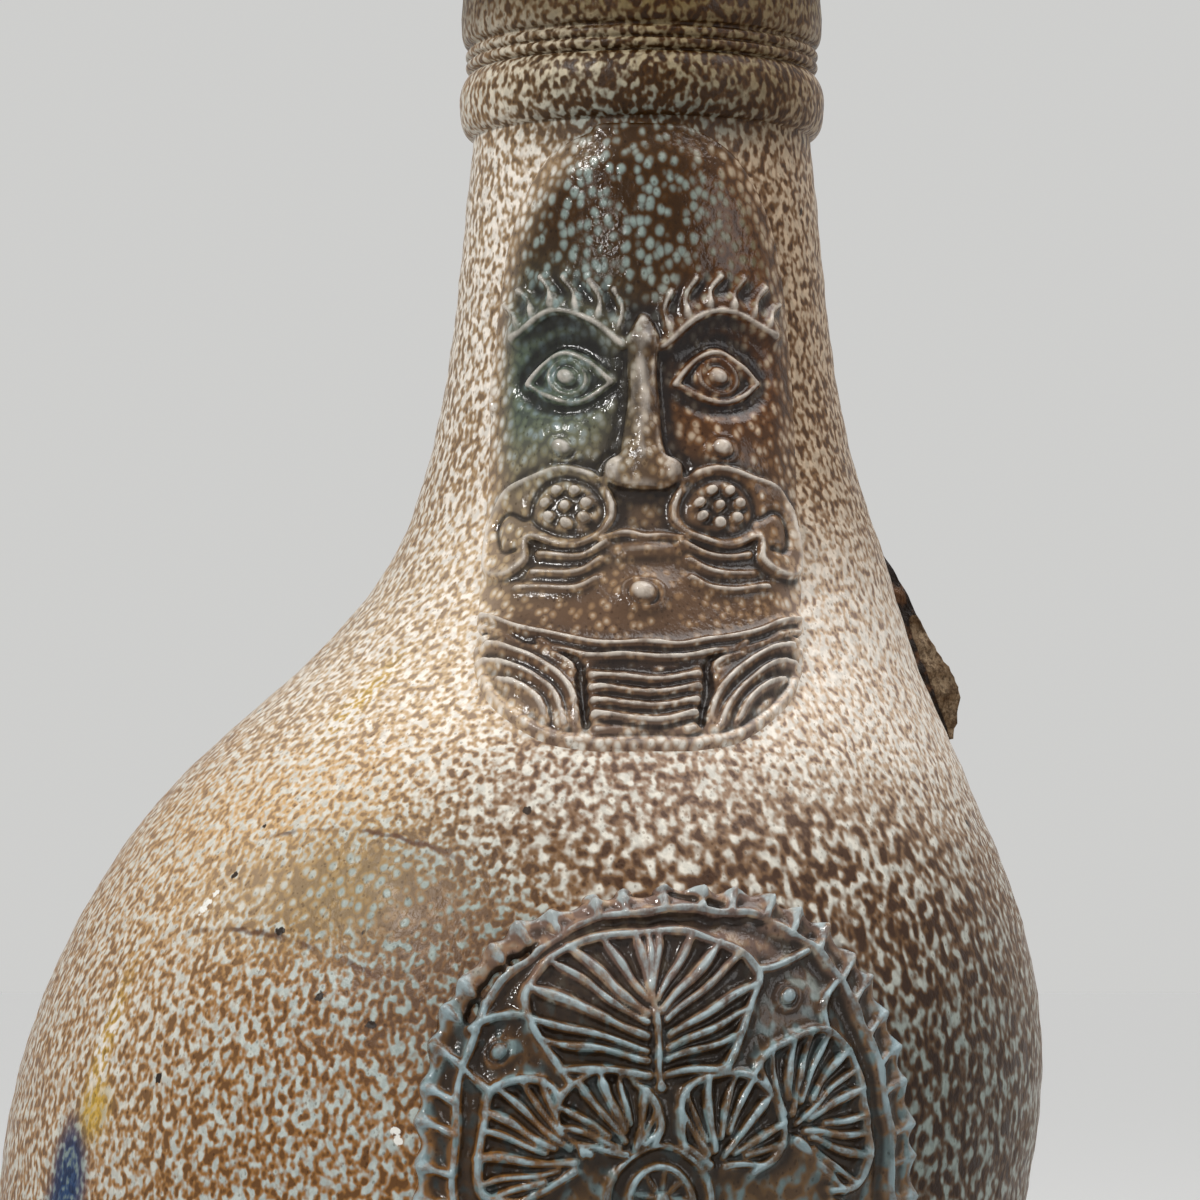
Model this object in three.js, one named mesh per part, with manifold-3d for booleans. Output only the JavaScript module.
// Salt-glazed stoneware jug with a bearded mask on the neck and a rosette medallion on the belly.
// Millimetres, +Z up. The origin is the centre of the flat foot and the mask faces -Y.
import * as THREE from "three";
import { mergeVertices } from "three/addons/utils/BufferGeometryUtils.js";
import Module from "manifold-3d";

const wasm = await Module();
wasm.setup();

// Wall of the thrown vessel
const FOOT_RADIUS = 36.5;
const FOOT_BEVEL = 1.2;
const FOOT_HEIGHT = 6;
const FOOT_FLARE = 0.95;
const BELLY_RADIUS = 74.2;
const BELLY_Z = 102;
const SHOULDER_RADIUS = 49.2;
const SHOULDER_Z = 163;
const SHOULDER_SLOPE = -0.83;
const NECK_RADIUS = 24.6;
const NECK_Z = 246.4;
const NECK_SLOPE = -0.12;
const WALL = 4.6;
const FLOOR = 7;
const FLOOR_CORNER = 16;

// Mouldings round the mouth
const CORDON_HEIGHT = 9.4;
const CORDON_PROUD = 2.2;
const FILLET_HEIGHT = 3.6;
const FILLET_PROUD = 0.7;
const FILLET_BEADS = 2;
const COLLAR_HEIGHT = 15.6;
const COLLAR_PROUD = 1.9;
const LIP_ROUND = 2.2;

// Sideways slump of the wall in the kiln, as the shift of its horizontal sections along X
const LEAN_START_Z = 55;
const LEAN_BELLY = 5.6;
const LEAN_BELLY_Z = 110;
const LEAN_SHOULDER = 10.1;
const LEAN_SHOULDER_Z = 145;
const LEAN_NECK = 21.75;
const LEAN_NECK_Z = 190;
const LEAN_RATE = 0.14;

// Raised lines and beads of the moulded sprigs
const LINE_WIDTH = 2.1;
const LINE_PROUD = 1.4;
const BEAD_SIZE = 1.8;
const BEAD_PROUD = 1.2;
const PLATE_EDGE = 0.5;

// Bearded mask, a moulded sprig laid down the front of the neck
const MASK_WIDTH = 49;
const MASK_HEIGHT = 96;
const MASK_TOP_GAP = 0.6;
const MASK_TOP_FULL = 3.2;
const MASK_FOOT_FULL = 8;
const MASK_GROUND = 1.2;
const MASK_EDGE_RISE = 4;
const HEAD_HEIGHT = 76;
const FACE_DOME = 1.5;
const CHEEK_PROUD = 0.9;
const CHEEK_ROUND = 6;
const EYE_HEIGHT = 6.4;
const EYE_PROUD = 1.4;
const BROW_ARCH = 4;
const BROW_WIDTH = 2.6;
const BROW_LOCKS = 5;
const LOCK_LENGTH = 5;
const NOSE_WIDTH = 10;
const NOSE_PROUD = 3.4;
const MOUTH_WIDTH = 12;
const SCROLL_RADIUS = 5.2;
const SCROLL_BEADS = 7;
const WHISKERS = 3;
const WHISKER_PITCH = 2.8;
const CHIN_PROUD = 1.3;
const CHIN_ROUND = 5;
const BAND_PITCH = 2.4;
const BAND_SAG = 5.7;
const BEARD_PARTING = 8.2;
const STRAND_PITCH = 3.3;
const STRAND_WIDTH = 2.6;
const STRAND_SAG = 0.8;

// Oval rosette medallion, a moulded sprig laid on the belly
const MEDAL_WIDTH = 72;
const MEDAL_HEIGHT = 86.4;
const MEDAL_FULL = 2.5;
const MEDAL_Z = 95.6;
const MEDAL_OFFSET = 5.6;
const MEDAL_GROUND = 1.1;
const MEDAL_EDGE_RISE = 1.6;
const MEDAL_RIBS = 48;
const BORDER_WIDTH = 5.4;
const CHANNEL_WIDTH = 3;
const ROSETTE_OFFSET = -4.4;
const PETALS = 6;
const PETAL_LENGTH = 22;
const PETAL_SPREAD = 68;
const PETAL_RIDGES = 7;
const BUD_LENGTH = 11;
const BUD_SPREAD = 58;
const BUD_RIDGES = 3;
const HUB_RADIUS = 6.4;

// Strap handle behind the neck
const HANDLE_WIDTH = 21;
const HANDLE_THICKNESS = 9.5;
const HANDLE_TAPER = 0.72;
const HANDLE_REACH = 60;
const HANDLE_GRIP_Z = 216;
const HANDLE_FOOT_Z = 170;
const HANDLE_ROOT = 9;
const HANDLE_GROOVE = 1.2;

// Sherd of a neighbouring pot, stuck to the right of the shoulder in the kiln
const SHERD_TURN = 108;
const SHERD_WIDTH = 16;
const SHERD_LENGTH = 27;
const SHERD_PROUD = 5.8;
const SHERD_TOP_Z = 186;
const SHERD_LEAN = 0.72;

// Gap between a luted piece and the wall
const JOIN_GAP = 0.3;

// Mesh steps
const TURN_STEPS = 34;
const WALL_STEPS = 27;
const INSIDE_STEPS = 10;
const ROUND_STEPS = 3;
const MASK_COLUMNS = 18;
const MASK_ROWS = 27;
const BACK_SHARE = 2;
const MEDAL_STEPS = 40;
const MEDAL_RINGS = 4;
const MARCH_STEP = 0.5;
const MESH_FINE = 0.12;

// Cubic through knots of [place, value, slope], held flat beyond both ends
function curveThrough(knots, at) {
  const last = knots.length - 1;
  if (at <= knots[0][0]) return knots[0][1];
  if (at >= knots[last][0]) return knots[last][1];
  const i = knots.findIndex((knot) => knot[0] > at) - 1;
  const [x0, y0, m0] = knots[i];
  const [x1, y1, m1] = knots[i + 1];
  const span = x1 - x0;
  const t = (at - x0) / span;
  const rise = t * t * (3 - 2 * t);
  const start = t * (1 - t) * (1 - t);
  const end = t * t * (t - 1);
  return y0 * (1 - rise) + y1 * rise + span * (m0 * start + m1 * end);
}

const wallKnots = [
  [FOOT_HEIGHT, FOOT_RADIUS, FOOT_FLARE],
  [BELLY_Z, BELLY_RADIUS, 0],
  [SHOULDER_Z, SHOULDER_RADIUS, SHOULDER_SLOPE],
  [NECK_Z, NECK_RADIUS, NECK_SLOPE],
];
const leanKnots = [
  [LEAN_START_Z, 0, 0],
  [LEAN_BELLY_Z, LEAN_BELLY, LEAN_RATE],
  [LEAN_SHOULDER_Z, LEAN_SHOULDER, LEAN_RATE],
  [LEAN_NECK_Z, LEAN_NECK, 0],
];
const wallRadius = (z) => curveThrough(wallKnots, z);
const wallLean = (z) => curveThrough(leanKnots, z);
const wallSlope = (z) => wallRadius(z + 0.5) - wallRadius(z - 0.5);
const stretch = (z) => Math.hypot(1, wallSlope(z));

const CORDON_Z = NECK_Z + CORDON_HEIGHT / 2;
const FILLET_Z = NECK_Z + CORDON_HEIGHT;
const COLLAR_Z = FILLET_Z + FILLET_HEIGHT;
const RIM_Z = COLLAR_Z + COLLAR_HEIGHT;
const COLLAR_RADIUS = NECK_RADIUS + COLLAR_PROUD;
const BORE_RADIUS = NECK_RADIUS - WALL;

// Outside of the wall from the middle of the foot to the top of the lip, grown by a gap if asked
function outside(gap) {
  const path = new THREE.Path();
  path.moveTo(0, -gap);
  path.lineTo(FOOT_RADIUS - FOOT_BEVEL + gap, -gap);
  path.lineTo(FOOT_RADIUS + gap, FOOT_BEVEL);
  for (let i = 0; i <= WALL_STEPS; i += 1) {
    const z = FOOT_HEIGHT + ((NECK_Z - FOOT_HEIGHT) * i) / WALL_STEPS;
    path.lineTo(wallRadius(z) + gap * stretch(z), z);
  }
  const tall = CORDON_HEIGHT / 2 + gap;
  path.absellipse(NECK_RADIUS + gap, CORDON_Z, CORDON_PROUD, tall, -Math.PI / 2, Math.PI / 2, false);
  const fillet = NECK_RADIUS + FILLET_PROUD + gap;
  path.lineTo(fillet, FILLET_Z + gap);
  const pitch = FILLET_HEIGHT / FILLET_BEADS;
  for (let i = 0; i < FILLET_BEADS; i += 1) {
    path.absarc(fillet, FILLET_Z + pitch * (i + 0.5), pitch * 0.4, -Math.PI / 2, Math.PI / 2, false);
  }
  path.lineTo(fillet, COLLAR_Z - gap);
  path.lineTo(COLLAR_RADIUS - FILLET_PROUD + gap, COLLAR_Z - gap);
  path.quadraticCurveTo(COLLAR_RADIUS + gap, COLLAR_Z, COLLAR_RADIUS + gap, COLLAR_Z + LIP_ROUND);
  const lip = COLLAR_RADIUS - FILLET_PROUD - LIP_ROUND;
  path.lineTo(lip + LIP_ROUND + gap, RIM_Z - LIP_ROUND);
  path.absarc(lip + gap, RIM_Z - LIP_ROUND + gap, LIP_ROUND, 0, Math.PI / 2, false);
  return path;
}

// Lean of the wall, given to every point of a geometry that was turned upright
function leaned(geometry) {
  const place = geometry.attributes.position;
  for (let i = 0; i < place.count; i += 1) {
    place.setX(i, place.getX(i) + wallLean(place.getZ(i)));
  }
  return geometry;
}

function turned(path) {
  const lathe = new THREE.LatheGeometry(path.getPoints(ROUND_STEPS), TURN_STEPS);
  return leaned(lathe.rotateX(Math.PI / 2));
}

function thrownVessel() {
  const path = outside(0);
  path.lineTo(BORE_RADIUS + LIP_ROUND, RIM_Z);
  path.absarc(BORE_RADIUS + LIP_ROUND, RIM_Z - LIP_ROUND, LIP_ROUND, Math.PI / 2, Math.PI, false);
  const bottom = FLOOR + FLOOR_CORNER;
  const inside = (z) => wallRadius(z) - WALL * stretch(z);
  for (let i = 0; i <= INSIDE_STEPS; i += 1) {
    const z = NECK_Z + ((bottom - NECK_Z) * i) / INSIDE_STEPS;
    path.lineTo(inside(z), z);
  }
  path.absellipse(0, bottom, inside(bottom), FLOOR_CORNER, 0, -Math.PI / 2, true);
  return turned(path);
}

function toManifold(geometry) {
  const bare = geometry.clone();
  bare.deleteAttribute("normal");
  bare.deleteAttribute("uv");
  const merged = mergeVertices(bare, 1e-4);
  const vertProperties = new Float32Array(merged.attributes.position.array);
  const triVerts = new Uint32Array(merged.index.array);
  return new wasm.Manifold(new wasm.Mesh({ numProp: 3, vertProperties, triVerts }));
}

function toGeometry(manifold) {
  const mesh = manifold.getMesh();
  const geometry = new THREE.BufferGeometry();
  geometry.setAttribute("position", new THREE.BufferAttribute(mesh.vertProperties, 3));
  geometry.setIndex(new THREE.BufferAttribute(mesh.triVerts, 1));
  return geometry;
}

// The wall without its hollow, grown by the join gap: it cuts the seat of a luted piece
function seatCutter() {
  const path = outside(JOIN_GAP);
  path.lineTo(0, RIM_Z + JOIN_GAP);
  return toManifold(turned(path));
}

const seat = seatCutter();
const seated = (geometry) => toGeometry(toManifold(geometry).subtract(seat));

// Height on the wall after climbing a length along its slope from a start
function climb(from, length) {
  let z = from;
  const steps = Math.max(1, Math.ceil(Math.abs(length) / MARCH_STEP));
  for (let i = 0; i < steps; i += 1) {
    z += length / steps / stretch(z);
  }
  return z;
}

// Bearing from the middle of the wall's section to a plumb line on its front, at a given X
const plumb = (x, z) => Math.asin(THREE.MathUtils.clamp((x - wallLean(z)) / wallRadius(z), -1, 1));

// Point on the wall: across is the length round it from a plumb line, out is the height above it
function onWall(plumbX, across, z, out) {
  const radius = wallRadius(z);
  const slope = wallSlope(z);
  const angle = plumb(plumbX, z) + across / radius;
  const tilt = stretch(z);
  const reach = radius + out / tilt;
  const x = wallLean(z) + reach * Math.sin(angle);
  return new THREE.Vector3(x, -reach * Math.cos(angle), z - (out * slope) / tilt);
}

const bump = (distance, width) => Math.exp(-((distance / width) ** 2));
const ramp = THREE.MathUtils.smoothstep;
const lerp = THREE.MathUtils.lerp;
const radians = THREE.MathUtils.degToRad;

// Share of a raised line's foot that lies inside the plate
const SUNK = 0.4;
const tapered = (t) => Math.min(1, SUNK + 4 * Math.min(t, 1 - t));
const growing = (t) => lerp(SUNK, 1, t);
const even = () => 1;

// Raised line: a triangular bar swept along points on a sprig, closed if its ends meet
function raisedLine(sprig, line, width, proud, steps, swell = tapered, closed = false) {
  const curve = new THREE.SplineCurve(line.map(([u, v]) => new THREE.Vector2(u, v)));
  const sections = closed ? steps : steps + 1;
  const points = [];
  const faces = [];
  for (let i = 0; i < sections; i += 1) {
    const t = i / steps;
    const at = curve.getPoint(t);
    const way = curve.getTangent(t).multiplyScalar((width / 2) * swell(t));
    const ground = sprig.relief(at.x, at.y);
    points.push(sprig.place(at.x - way.y, at.y + way.x, ground * SUNK));
    points.push(sprig.place(at.x + way.y, at.y - way.x, ground * SUNK));
    points.push(sprig.place(at.x, at.y, ground + proud * swell(t)));
  }
  const quad = (a, b, c, d) => faces.push(a, b, c, a, c, d);
  for (let i = 0; i < steps; i += 1) {
    const here = 3 * i;
    const next = 3 * ((i + 1) % sections);
    quad(here, here + 2, next + 2, next);
    quad(here + 2, here + 1, next + 1, next + 2);
    quad(here + 1, here, next, next + 1);
  }
  if (!closed) {
    const last = 3 * steps;
    faces.push(0, 1, 2, last, last + 2, last + 1);
  }
  return toManifold(new THREE.BufferGeometry().setFromPoints(points).setIndex(faces));
}

// Bead: a ball flattened into a dome on a sprig, its foot inside the plate
function bead(sprig, u, v, width, height, proud, sides = 6) {
  const ball = new THREE.SphereGeometry(1, sides, 4).rotateX(Math.PI / 2);
  const place = ball.attributes.position;
  const ground = sprig.relief(u, v);
  for (let i = 0; i < place.count; i += 1) {
    const rise = place.getZ(i) > 0 ? proud + ground * (1 - SUNK) : ground * SUNK * 0.5;
    const out = ground * SUNK + rise * place.getZ(i);
    const at = sprig.place(u + (place.getX(i) * width) / 2, v + (place.getY(i) * height) / 2, out);
    place.setXYZ(i, at.x, at.y, at.z);
  }
  return toManifold(ball);
}

const mirrored = (line) => line.map(([u, v]) => [-u, v]);
const circle = (u, v, radius, sides) => {
  const line = [];
  for (let i = 0; i <= sides; i += 1) {
    const turn = (2 * Math.PI * i) / sides;
    line.push([u + radius * Math.cos(turn), v + radius * Math.sin(turn)]);
  }
  return line;
};

// Mask: u runs across from the middle, v climbs from the tip of the beard
const CHIN_V = MASK_HEIGHT - HEAD_HEIGHT;
const EYE_V = CHIN_V + HEAD_HEIGHT / 2;
const FACE_THIRD = (HEAD_HEIGHT * 7) / 8 / 3;
const NOSE_V = CHIN_V + FACE_THIRD;
const BROW_V = CHIN_V + 2 * FACE_THIRD;
const MOUTH_V = CHIN_V + (FACE_THIRD * 2) / 3;
const FACE_WIDTH = HEAD_HEIGHT * 0.66;
const EYE_WIDTH = FACE_WIDTH / 5;
const SCROLL_V = MOUTH_V + SCROLL_RADIUS * 0.7;

function maskHalfWidth(v) {
  const end = Math.abs((2 * v) / MASK_HEIGHT - 1);
  const full = v < MASK_HEIGHT / 2 ? MASK_FOOT_FULL : MASK_TOP_FULL;
  return (MASK_WIDTH / 2) * Math.sqrt(Math.max(1 - end ** full, 0));
}

// Height of the mask's plate: a domed face with round cheeks and chin that thins towards its edge
function maskPlate(u, v) {
  const side = Math.abs(u);
  const oval = 1 - 2.2 * ((u / FACE_WIDTH) ** 2 + ((v - EYE_V) / HEAD_HEIGHT) ** 2);
  const inset = Math.min(maskHalfWidth(v) - side, v, MASK_HEIGHT - v);
  const cheek = bump(side - EYE_WIDTH * 1.2, CHEEK_ROUND) * bump(v - NOSE_V - CHEEK_ROUND, CHEEK_ROUND);
  const chin = bump(u, CHIN_ROUND) * bump(v - CHIN_V - CHIN_ROUND, CHIN_ROUND);
  const scroll = bump(side - EYE_WIDTH, SCROLL_RADIUS) * bump(v - SCROLL_V, SCROLL_RADIUS);
  const face = FACE_DOME * Math.max(oval, 0) + CHEEK_PROUD * cheek + CHIN_PROUD * chin + scroll;
  return PLATE_EDGE + (MASK_GROUND - PLATE_EDGE + face) * ramp(inset, 0, MASK_EDGE_RISE);
}

const maskFootZ = climb(NECK_Z - MASK_TOP_GAP, -MASK_HEIGHT);
const mask = {
  relief: maskPlate,
  place: (u, v, out) => onWall(LEAN_NECK, u, climb(maskFootZ, v), JOIN_GAP + out),
};

// Lines of the right half of the face, which the left half mirrors
function faceLines() {
  const inner = EYE_WIDTH * 0.45;
  const outer = EYE_WIDTH * 1.58;
  const lid = EYE_HEIGHT * 0.6;
  const corner = EYE_V - EYE_HEIGHT * 0.15;
  const brow = [
    [EYE_WIDTH * 0.22, BROW_V - BROW_ARCH * 0.3],
    [EYE_WIDTH * 0.64, BROW_V + BROW_ARCH * 0.7],
    [EYE_WIDTH * 1.2, BROW_V + BROW_ARCH],
    [EYE_WIDTH * 1.85, BROW_V + BROW_ARCH * 0.2],
  ];
  const lines = [
    [[[inner, corner], [EYE_WIDTH, EYE_V + lid], [outer, EYE_V]], LINE_WIDTH, 4],
    [[[inner, corner], [EYE_WIDTH, EYE_V - lid], [outer, EYE_V]], LINE_WIDTH, 4],
    [brow, BROW_WIDTH, 5],
  ];
  const browCurve = new THREE.SplineCurve(brow.map(([u, v]) => new THREE.Vector2(u, v)));
  for (let i = 0; i < BROW_LOCKS; i += 1) {
    const share = (i + 0.5) / BROW_LOCKS;
    const root = browCurve.getPoint(share);
    const tip = [root.x + LOCK_LENGTH * share * 0.6, root.y + LOCK_LENGTH];
    lines.push([[[root.x, root.y], tip], LINE_WIDTH, 2]);
  }
  return lines;
}

// Lines of the right half of the moustache: a scroll with a curled tail, and whiskers under it
function moustacheLines() {
  const far = EYE_WIDTH + SCROLL_RADIUS;
  const edge = MASK_WIDTH / 2 - LINE_WIDTH;
  const low = SCROLL_V - 2 * SCROLL_RADIUS;
  const tail = [
    [EYE_WIDTH, SCROLL_V + SCROLL_RADIUS],
    [far, SCROLL_V + SCROLL_RADIUS * 0.8],
    [edge, SCROLL_V - SCROLL_RADIUS * 0.2],
    [edge, low],
    [lerp(far, edge, 0.5), low],
    [far, SCROLL_V - SCROLL_RADIUS],
  ];
  const lines = [[tail, LINE_WIDTH, 9]];
  for (let i = 0; i < WHISKERS; i += 1) {
    const drop = MOUTH_V - WHISKER_PITCH * (i + 0.6);
    const level = drop - LINE_WIDTH;
    const reach = far + i * LINE_WIDTH * 0.6;
    lines.push([[[MOUTH_WIDTH / 2, drop], [EYE_WIDTH, level], [reach, level]], LINE_WIDTH, 3]);
  }
  return lines;
}

// Lock of the beard's right panel: an arc round the panel's lower outer corner, kept on the plate
function sideLock(reach) {
  const line = [];
  for (let turn = 0; turn <= 90; turn += 10) {
    const u = MASK_WIDTH / 2 - reach * Math.cos(radians(turn));
    const v = reach * Math.sin(radians(turn));
    const clear = Math.min(u - BEARD_PARTING, maskHalfWidth(v) - u);
    if (clear > STRAND_WIDTH / 2) line.push([u, v]);
  }
  return line;
}

function beardLines() {
  const lines = [];
  for (let reach = 2 * STRAND_PITCH; reach < MASK_WIDTH / 2 - STRAND_PITCH; reach += STRAND_PITCH) {
    const lock = sideLock(reach);
    if (lock.length > 2) lines.push([lock, STRAND_WIDTH, 4]);
  }
  return lines;
}

// Lines that cross the middle: lip, bands round the chin and the level strands of the beard
function middleLines() {
  const lip = MOUTH_V - LINE_WIDTH;
  const corner = MOUTH_WIDTH / 2;
  const lines = [[[[-corner, lip], [0, lip + LINE_WIDTH / 2], [corner, lip]], LINE_WIDTH, 4]];
  const edge = MASK_WIDTH / 2 - LINE_WIDTH;
  for (const drop of [0, BAND_PITCH]) {
    const high = CHIN_V + BAND_SAG / 3 - drop;
    lines.push([[[-edge, high], [-edge / 2, high - BAND_SAG * 0.8], [0, high - BAND_SAG],
      [edge / 2, high - BAND_SAG * 0.8], [edge, high]], LINE_WIDTH, 10]);
  }
  const top = CHIN_V - BAND_SAG - STRAND_PITCH;
  const wide = BEARD_PARTING - STRAND_WIDTH / 2;
  for (let v = top; v > STRAND_WIDTH; v -= STRAND_PITCH) {
    lines.push([[[-wide, v + STRAND_SAG], [0, v], [wide, v + STRAND_SAG]], STRAND_WIDTH, 4]);
  }
  return lines;
}

// Everything that stands up from the mask's plate
function maskFeatures() {
  const parts = [];
  for (const [line, width, steps] of middleLines()) {
    parts.push(raisedLine(mask, line, width, LINE_PROUD, steps));
  }
  for (const [line, width, steps] of [...faceLines(), ...moustacheLines(), ...beardLines()]) {
    parts.push(raisedLine(mask, line, width, LINE_PROUD, steps));
    parts.push(raisedLine(mask, mirrored(line), width, LINE_PROUD, steps));
  }
  parts.push(raisedLine(mask, [[0, BROW_V], [0, NOSE_V]], NOSE_WIDTH, NOSE_PROUD, 4, growing));
  parts.push(bead(mask, 0, CHIN_V + CHIN_ROUND, BEAD_SIZE * 2, BEAD_SIZE * 2, BEAD_PROUD, 8));
  for (const side of [-1, 1]) {
    const u = side * EYE_WIDTH;
    parts.push(bead(mask, u, EYE_V, EYE_WIDTH, EYE_HEIGHT, EYE_PROUD, 10));
    parts.push(bead(mask, u, EYE_V, BEAD_SIZE * 1.4, BEAD_SIZE * 1.4, EYE_PROUD + BEAD_PROUD * 0.6));
    const wing = side * NOSE_WIDTH * 0.45;
    parts.push(bead(mask, wing, NOSE_V + BEAD_SIZE, BEAD_SIZE * 1.8, BEAD_SIZE * 1.8, BEAD_PROUD));
    const scroll = circle(u, SCROLL_V, SCROLL_RADIUS, 12);
    parts.push(raisedLine(mask, scroll, LINE_WIDTH, LINE_PROUD, 12, even, true));
    parts.push(bead(mask, u, SCROLL_V, BEAD_SIZE, BEAD_SIZE, BEAD_PROUD));
    for (const [ringU, ringV] of circle(u, SCROLL_V, SCROLL_RADIUS * 0.6, SCROLL_BEADS).slice(1)) {
      parts.push(bead(mask, ringU, ringV, BEAD_SIZE, BEAD_SIZE, BEAD_PROUD));
    }
  }
  return parts;
}

// Closed plate from rows of points: a fine front, a coarser back on the seat, and a rim between them
function maskBody() {
  const points = [];
  const faces = [];
  const backColumns = MASK_COLUMNS / BACK_SHARE;
  const frontRow = MASK_COLUMNS + 1;
  const backRow = backColumns + 1;
  const backStart = frontRow * (MASK_ROWS + 1);
  const heights = [];
  for (let row = 0; row <= MASK_ROWS; row += 1) {
    const t = row / MASK_ROWS;
    heights.push(MASK_HEIGHT * (0.004 + 0.992 * (t * 0.9 + 0.1 * t * t * (3 - 2 * t))));
  }
  for (const v of heights) {
    for (let column = 0; column <= MASK_COLUMNS; column += 1) {
      const u = maskHalfWidth(v) * ((2 * column) / MASK_COLUMNS - 1);
      points.push(mask.place(u, v, maskPlate(u, v)));
    }
  }
  for (const v of heights) {
    for (let column = 0; column <= backColumns; column += 1) {
      const u = maskHalfWidth(v) * ((2 * column) / backColumns - 1);
      points.push(mask.place(u, v, 0));
    }
  }
  const front = (row, column) => row * frontRow + column;
  const back = (row, column) => backStart + row * backRow + column;
  const quad = (a, b, c, d) => faces.push(a, b, c, a, c, d);
  for (let row = 0; row < MASK_ROWS; row += 1) {
    for (let column = 0; column < MASK_COLUMNS; column += 1) {
      quad(front(row, column), front(row, column + 1), front(row + 1, column + 1), front(row + 1, column));
    }
    for (let column = 0; column < backColumns; column += 1) {
      quad(back(row, column), back(row + 1, column), back(row + 1, column + 1), back(row, column + 1));
    }
    quad(front(row, 0), front(row + 1, 0), back(row + 1, 0), back(row, 0));
    const edge = MASK_COLUMNS;
    const hem = backColumns;
    quad(front(row, edge), back(row, hem), back(row + 1, hem), front(row + 1, edge));
  }
  for (let column = 0; column < backColumns; column += 1) {
    for (const row of [0, MASK_ROWS]) {
      const turn = row === 0 ? (a, b, c) => faces.push(a, b, c) : (a, b, c) => faces.push(a, c, b);
      for (let step = 0; step < BACK_SHARE; step += 1) {
        const at = column * BACK_SHARE + step;
        turn(back(row, column), front(row, at + 1), front(row, at));
      }
      turn(back(row, column), back(row, column + 1), front(row, (column + 1) * BACK_SHARE));
    }
  }
  return toManifold(new THREE.BufferGeometry().setFromPoints(points).setIndex(faces));
}

const fused = (parts) => toGeometry(wasm.Manifold.union(parts).asOriginal().simplify(MESH_FINE));
const faceMask = () => fused([maskBody(), ...maskFeatures()]);

// Medallion: u runs across from its middle and v climbs the belly; the outline is a full oval
function rimReach(angle) {
  const across = Math.abs(Math.cos(angle) / (MEDAL_WIDTH / 2)) ** MEDAL_FULL;
  const along = Math.abs(Math.sin(angle) / (MEDAL_HEIGHT / 2)) ** MEDAL_FULL;
  return (across + along) ** (-1 / MEDAL_FULL);
}

const rimInset = (u, v) => rimReach(Math.atan2(v, u)) - Math.hypot(u, v);
const medallion = {
  relief: (u, v) => lerp(PLATE_EDGE, MEDAL_GROUND, ramp(rimInset(u, v), 0, MEDAL_EDGE_RISE)),
  place: (u, v, out) => onWall(LEAN_NECK + MEDAL_OFFSET, u, climb(MEDAL_Z, v), JOIN_GAP + out),
};

// Plate: a turned disc whose points are laid on the belly, the front on the relief and the back on the seat
function medalBody() {
  const outline = [];
  for (let i = 0; i <= MEDAL_RINGS; i += 1) {
    outline.push(new THREE.Vector2(i / MEDAL_RINGS, 0));
  }
  const inner = 1 - (2 * MEDAL_EDGE_RISE) / MEDAL_WIDTH;
  outline.push(new THREE.Vector2(1, 1), new THREE.Vector2(inner, 1));
  for (let i = MEDAL_RINGS - 1; i >= 0; i -= 1) {
    outline.push(new THREE.Vector2(i / MEDAL_RINGS, 1));
  }
  const disc = new THREE.LatheGeometry(outline, MEDAL_STEPS);
  const place = disc.attributes.position;
  for (let i = 0; i < place.count; i += 1) {
    const angle = Math.atan2(place.getX(i), place.getZ(i));
    const far = Math.hypot(place.getX(i), place.getZ(i)) * rimReach(angle);
    const u = far * Math.cos(angle);
    const v = far * Math.sin(angle);
    const at = medallion.place(u, v, place.getY(i) > 0.5 ? medallion.relief(u, v) : 0);
    place.setXYZ(i, at.x, at.y, at.z);
  }
  return toManifold(disc);
}

// Fan: an outline that shuts towards its foot, and ridges that radiate from there
function fan(foot, axis, length, spread, ridges) {
  const tip = (t) => {
    const reach = length * (1 - 0.36 * Math.abs(t) ** 3);
    const turn = axis + spread * t;
    return [foot[0] + reach * Math.cos(turn), foot[1] + reach * Math.sin(turn)];
  };
  const outline = [];
  for (let i = 0; i <= 8; i += 1) {
    outline.push(tip(i / 4 - 1));
  }
  const parts = [raisedLine(medallion, outline, LINE_WIDTH, LINE_PROUD, 10)];
  for (let i = 0; i < ridges; i += 1) {
    const [u, v] = tip((2 * i + 1) / ridges - 1);
    const start = 0.25 + 0.1 * (i % 2);
    const line = [[lerp(foot[0], u, start), lerp(foot[1], v, start)], [u, v]];
    parts.push(raisedLine(medallion, line, LINE_WIDTH * 0.8, LINE_PROUD, 2, growing));
  }
  return parts;
}

// Room from the middle of the rosette to the channel inside the border
function roomAt(angle) {
  let far = HUB_RADIUS;
  const inset = () => rimInset(ROSETTE_OFFSET + far * Math.cos(angle), far * Math.sin(angle));
  while (inset() > BORDER_WIDTH + CHANNEL_WIDTH) far += MARCH_STEP;
  return far;
}

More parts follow.
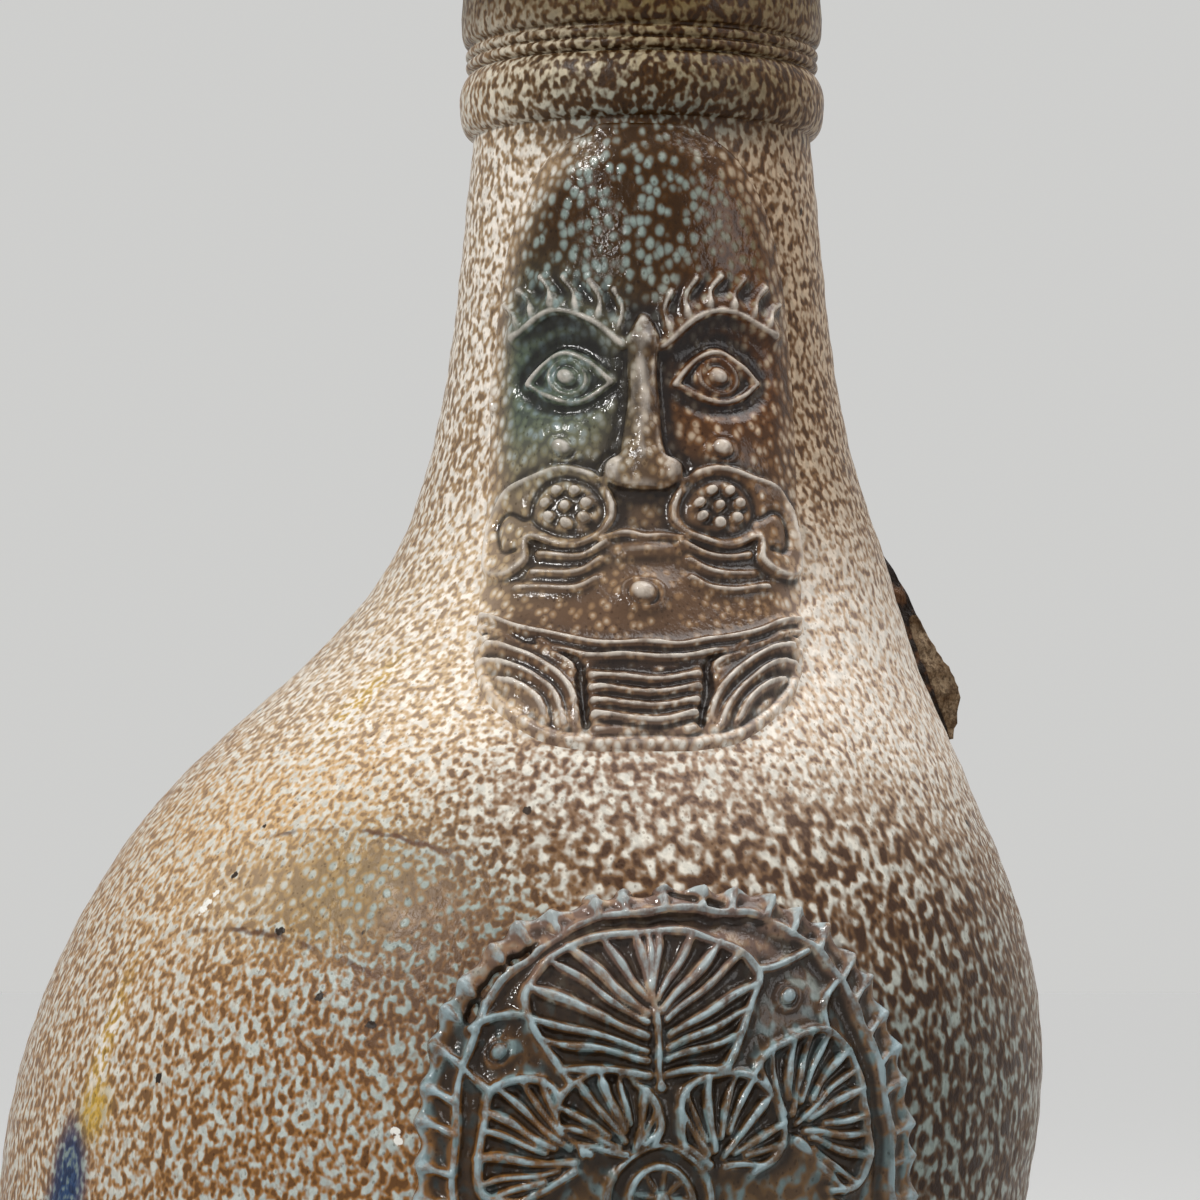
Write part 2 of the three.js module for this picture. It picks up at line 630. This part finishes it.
// Everything that stands up from the medallion's plate: ribbed border, large and small fans, hub and bosses
function medalFeatures() {
  const parts = [];
  const fromHub = (far, angle) => [ROSETTE_OFFSET + far * Math.cos(angle), far * Math.sin(angle)];
  const rimAt = (angle, inset) => {
    const far = rimReach(angle) - inset;
    return [far * Math.cos(angle), far * Math.sin(angle)];
  };
  const border = [];
  for (let i = 0; i <= MEDAL_STEPS; i += 1) {
    border.push(rimAt((2 * Math.PI * i) / MEDAL_STEPS, BORDER_WIDTH));
  }
  parts.push(raisedLine(medallion, border, LINE_WIDTH, LINE_PROUD, MEDAL_STEPS, even, true));
  const pace = new THREE.SplineCurve(border.map(([u, v]) => new THREE.Vector2(u, v)));
  for (const at of pace.getSpacedPoints(MEDAL_RIBS).slice(1)) {
    const angle = Math.atan2(at.y, at.x);
    const rib = [rimAt(angle, BORDER_WIDTH), rimAt(angle, MEDAL_EDGE_RISE)];
    parts.push(raisedLine(medallion, rib, LINE_WIDTH, LINE_PROUD, 1, even));
  }
  for (let i = 0; i < PETALS; i += 1) {
    const axis = Math.PI / 2 + (2 * Math.PI * i) / PETALS;
    const between = axis + Math.PI / PETALS;
    const length = Math.min(PETAL_LENGTH, roomAt(axis) - HUB_RADIUS);
    const foot = fromHub(roomAt(axis) - length, axis);
    parts.push(...fan(foot, axis, length, radians(PETAL_SPREAD), PETAL_RIDGES));
    parts.push(...fan(fromHub(HUB_RADIUS, between), between, BUD_LENGTH, radians(BUD_SPREAD), BUD_RIDGES));
    const [bossU, bossV] = fromHub(roomAt(between) - BEAD_SIZE, between);
    parts.push(bead(medallion, bossU, bossV, BEAD_SIZE * 1.6, BEAD_SIZE * 1.6, BEAD_PROUD));
  }
  for (const radius of [HUB_RADIUS, HUB_RADIUS - LINE_WIDTH * 1.4]) {
    const ring = circle(ROSETTE_OFFSET, 0, radius, 16);
    parts.push(raisedLine(medallion, ring, LINE_WIDTH, LINE_PROUD, 16, even, true));
  }
  parts.push(bead(medallion, ROSETTE_OFFSET, 0, BEAD_SIZE * 2, BEAD_SIZE * 2, BEAD_PROUD, 8));
  return parts;
}

const bellyMedallion = () => fused([medalBody(), ...medalFeatures()]);

// Strap handle: a rod swept from the cordon to the shoulder, wide, flat and grooved down its back
function handle() {
  const footRadius = wallRadius(HANDLE_FOOT_Z);
  const rootZ = NECK_Z - HANDLE_THICKNESS / 2;
  const line = new THREE.CatmullRomCurve3([
    new THREE.Vector3(LEAN_NECK, BORE_RADIUS, rootZ),
    new THREE.Vector3(LEAN_NECK, NECK_RADIUS + HANDLE_ROOT, rootZ + HANDLE_THICKNESS / 2),
    new THREE.Vector3(LEAN_NECK, HANDLE_REACH - HANDLE_ROOT, rootZ - HANDLE_ROOT / 3),
    new THREE.Vector3(LEAN_NECK, HANDLE_REACH, HANDLE_GRIP_Z),
    new THREE.Vector3(LEAN_NECK, footRadius + HANDLE_ROOT, HANDLE_FOOT_Z + 2 * HANDLE_ROOT),
    new THREE.Vector3(wallLean(HANDLE_FOOT_Z), footRadius + HANDLE_ROOT / 4, HANDLE_FOOT_Z),
    new THREE.Vector3(wallLean(HANDLE_FOOT_Z), footRadius - HANDLE_ROOT / 2, HANDLE_FOOT_Z - HANDLE_ROOT),
  ]);
  const rod = new THREE.CylinderGeometry(1, 1, 1, 14, 26, false);
  const place = rod.attributes.position;
  const across = new THREE.Vector3(1, 0, 0);
  for (let i = 0; i < place.count; i += 1) {
    const t = 0.5 - place.getY(i);
    const size = THREE.MathUtils.lerp(1, HANDLE_TAPER, t);
    const inward = new THREE.Vector3().crossVectors(line.getTangent(t), across).normalize();
    const deep = place.getZ(i);
    const wide = place.getX(i);
    const groove = deep < 0 ? HANDLE_GROOVE * bump(wide, 0.35) : 0;
    const point = line.getPoint(t);
    point.addScaledVector(across, wide * (HANDLE_WIDTH / 2) * size);
    point.addScaledVector(inward, deep * (HANDLE_THICKNESS / 2) * size + groove);
    place.setXYZ(i, point.x, point.y, point.z);
  }
  return seated(rod);
}

// Sherd: a wedge that is thin at its upper tip and thick at its lower, broken end
function kilnSherd() {
  const low = SHERD_TOP_Z - SHERD_LENGTH;
  const wide = SHERD_TOP_Z - SHERD_LENGTH * SHERD_LEAN;
  const middle = (SHERD_TOP_Z + wide) / 2;
  const shape = new THREE.Shape();
  shape.moveTo(wallRadius(SHERD_TOP_Z) - WALL, SHERD_TOP_Z);
  shape.lineTo(wallRadius(low) - 2 * WALL, low);
  shape.lineTo(wallRadius(low) + SHERD_PROUD * 0.4, low);
  shape.lineTo(wallRadius(wide) + SHERD_PROUD, wide);
  shape.lineTo(wallRadius(middle) + SHERD_PROUD * 0.5, middle);
  shape.lineTo(wallRadius(SHERD_TOP_Z) + SHERD_PROUD * 0.2, SHERD_TOP_Z);
  const slab = new THREE.ExtrudeGeometry(shape, { depth: SHERD_WIDTH, bevelEnabled: false });
  slab.translate(0, 0, -SHERD_WIDTH / 2).rotateX(Math.PI / 2);
  const side = SHERD_WIDTH / 2;
  const outline = new THREE.Shape();
  outline.moveTo(-side, low);
  outline.lineTo(side * 0.8, low + 2);
  outline.lineTo(side, wide);
  outline.lineTo(side * 0.2, SHERD_TOP_Z);
  outline.lineTo(-side * 0.5, SHERD_TOP_Z);
  outline.lineTo(-side * 0.8, middle);
  const cookie = new THREE.ExtrudeGeometry(outline, { depth: 2 * BELLY_RADIUS, bevelEnabled: false });
  cookie.rotateX(Math.PI / 2).rotateZ(Math.PI / 2);
  const piece = toGeometry(toManifold(slab).intersect(toManifold(cookie)));
  piece.rotateZ(THREE.MathUtils.degToRad(SHERD_TURN - 90));
  return seated(leaned(piece));
}

const glaze = new THREE.MeshStandardMaterial({ color: 0x8a6a4a, roughness: 0.32, metalness: 0 });
const maskGlaze = new THREE.MeshStandardMaterial({ color: 0x6f5238, roughness: 0.26, metalness: 0 });
const medalGlaze = new THREE.MeshStandardMaterial({ color: 0x8d7a62, roughness: 0.3, metalness: 0 });
const brokenClay = new THREE.MeshStandardMaterial({ color: 0x8f7355, roughness: 0.8, metalness: 0 });

const group = new THREE.Group();
function addPiece(name, geometry, material) {
  const mesh = new THREE.Mesh(geometry, material);
  mesh.name = name;
  group.add(mesh);
}

addPiece("thrown_vessel", thrownVessel(), glaze);
addPiece("handle", handle(), glaze);
addPiece("face_mask", faceMask(), maskGlaze);
addPiece("belly_medallion", bellyMedallion(), medalGlaze);
addPiece("kiln_sherd", kilnSherd(), brokenClay);

export default group;
